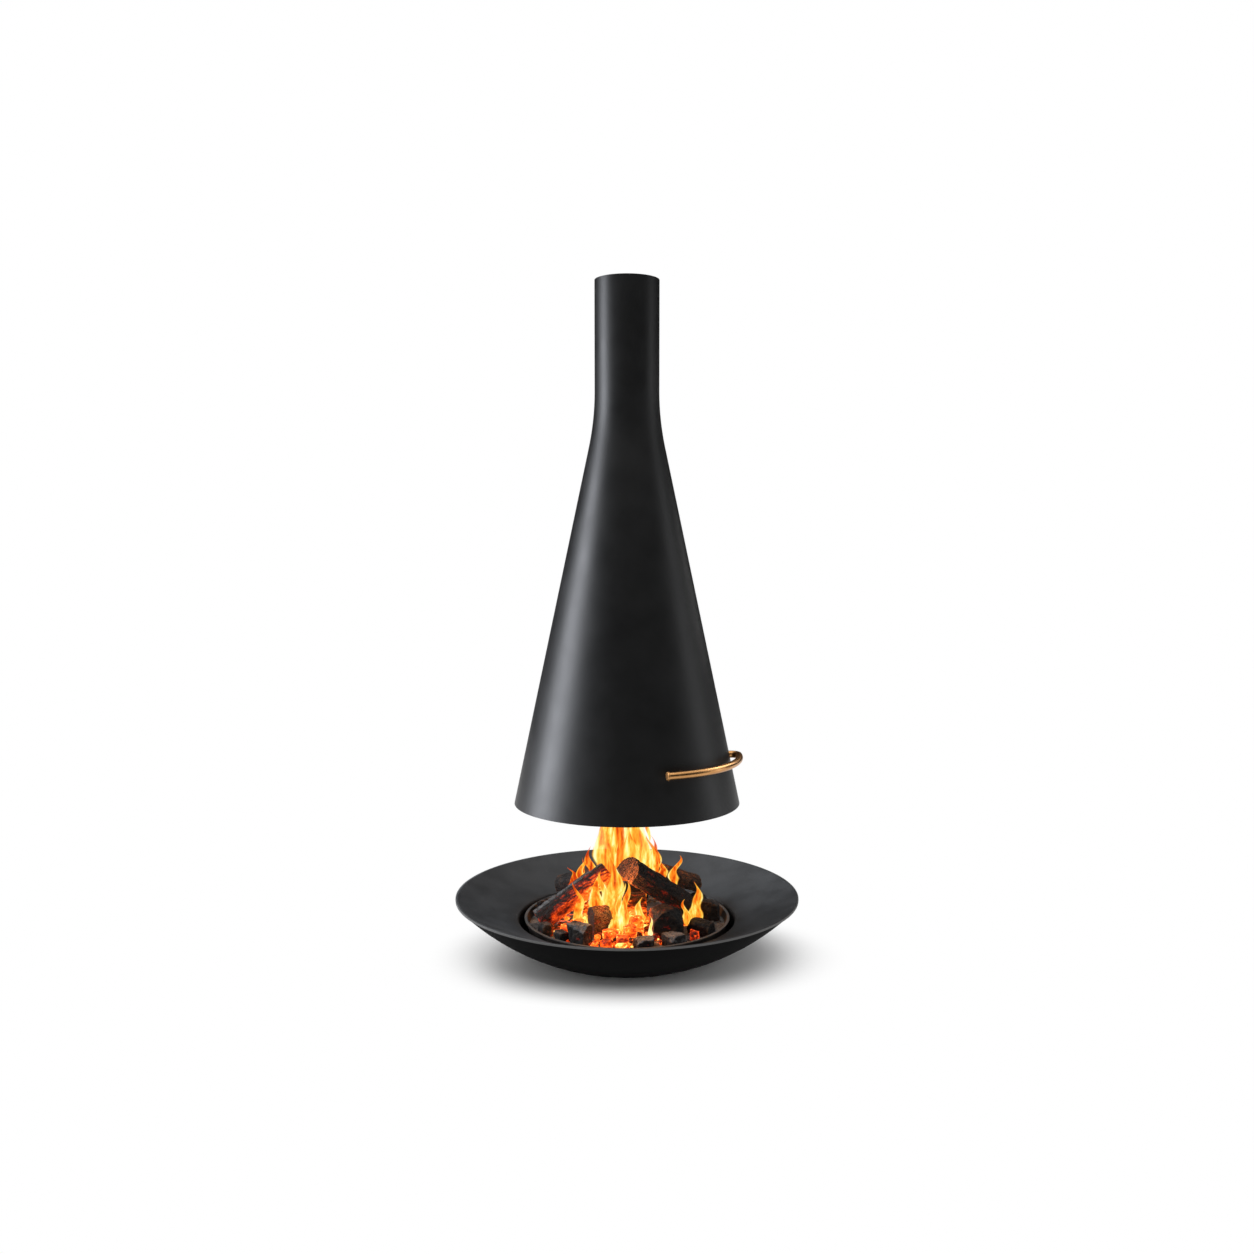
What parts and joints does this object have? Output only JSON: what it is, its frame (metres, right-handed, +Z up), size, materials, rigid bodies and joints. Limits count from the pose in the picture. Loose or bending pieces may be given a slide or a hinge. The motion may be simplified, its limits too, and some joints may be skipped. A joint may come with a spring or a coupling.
{
  "type": "central fireplace",
  "caption": "Floor bowl with a fire pan of burning logs under a long conical hood that slides on a fixed flue, balanced by a hidden counterweight and pulled by a brass rail.",
  "frame": {"origin": "on the floor under the middle of the bowl", "axes": "+Z up along the flue, -Y to the front, +X to the viewer's right where the rail is"},
  "size_m": [1.19, 1.19, 2.319],
  "materials": {
    "hood_black": "satin",
    "dish_black": "satin",
    "hearth_grey": "matte",
    "rail_brass": "satin",
    "bare_steel": "satin",
    "cast_pan": "matte",
    "rope_seal": "matte",
    "ash": "matte",
    "burning_wood": "matte",
    "charcoal": "matte",
    "ember": "matte"
  },
  "bodies": {
    "fixed": {"outer_dish": "dish_black", "inner_dish": "hearth_grey", "pan_stand": "cast_pan", "flue_pipe": "bare_steel", "flue_guide": "bare_steel", "sheave_stud_1": "bare_steel", "sheave_stud_2": "bare_steel", "sheave_stud_3": "bare_steel", "sheave_clips": "bare_steel", "cable_wraps": "bare_steel"},
    "hood": {"hood_shell": "hood_black", "rim_ring": "hood_black", "neck_guide": "bare_steel", "neck_seal": "rope_seal", "handle_bar": "rail_brass", "handle_cap": "rail_brass", "handle_post": "rail_brass", "handle_screws": "bare_steel", "cable_arm_1": "bare_steel", "cable_arm_2": "bare_steel", "cable_arm_3": "bare_steel", "arm_sockets": "bare_steel", "arm_nuts": "bare_steel", "lift_cables": "bare_steel"},
    "counterweight": {"weight_ring_1": "bare_steel", "weight_ring_2": "bare_steel", "weight_ring_3": "bare_steel", "weight_ring_4": "bare_steel", "tie_rods": "bare_steel", "weight_sockets": "bare_steel", "weight_cables": "bare_steel"},
    "fire_pan": {"fire_pan": "cast_pan", "ash_bed": "ash", "log_1": "burning_wood", "log_2": "burning_wood", "log_3": "burning_wood", "log_4": "burning_wood", "log_5": "burning_wood", "charcoal": "charcoal", "embers": "ember"},
    "sheave_1": {"sheave_1": "bare_steel"},
    "sheave_2": {"sheave_2": "bare_steel"},
    "sheave_3": {"sheave_3": "bare_steel"}
  },
  "joints": [
    {"name": "hood_slide", "type": "slide", "parent": "fixed", "child": "hood", "axis": [0, 0, 1], "range_m": [-0.39, 0], "deforming": ["lift_cables"]},
    {"name": "counterweight_slide", "type": "slide", "parent": "fixed", "child": "counterweight", "axis": [0, 0, 1], "range_m": [0, 0.39], "deforming": ["weight_cables"]},
    {"name": "pan_lift", "type": "slide", "parent": "fixed", "child": "fire_pan", "axis": [0, 0, 1], "range_m": [0, 0.1]},
    {"name": "sheave_1_spin", "type": "hinge", "parent": "fixed", "child": "sheave_1", "pos_m": [0, 0.0933, 1.85], "axis": [0, 1, 0], "range_deg": [-1125, 5]},
    {"name": "sheave_2_spin", "type": "hinge", "parent": "fixed", "child": "sheave_2", "pos_m": [-0.0808, -0.04665, 1.85], "axis": [-0.866, -0.5, 0], "range_deg": [-1125, 5]},
    {"name": "sheave_3_spin", "type": "hinge", "parent": "fixed", "child": "sheave_3", "pos_m": [0.0808, -0.04665, 1.85], "axis": [0.866, -0.5, 0], "range_deg": [-1125, 5]}
  ],
  "couplings": [
    {"joint": "counterweight_slide", "follows": "hood_slide", "ratio": -1},
    {"joint": "sheave_1_spin", "follows": "hood_slide", "rad_per_m": 50},
    {"joint": "sheave_2_spin", "follows": "hood_slide", "rad_per_m": 50},
    {"joint": "sheave_3_spin", "follows": "hood_slide", "rad_per_m": 50}
  ]
}
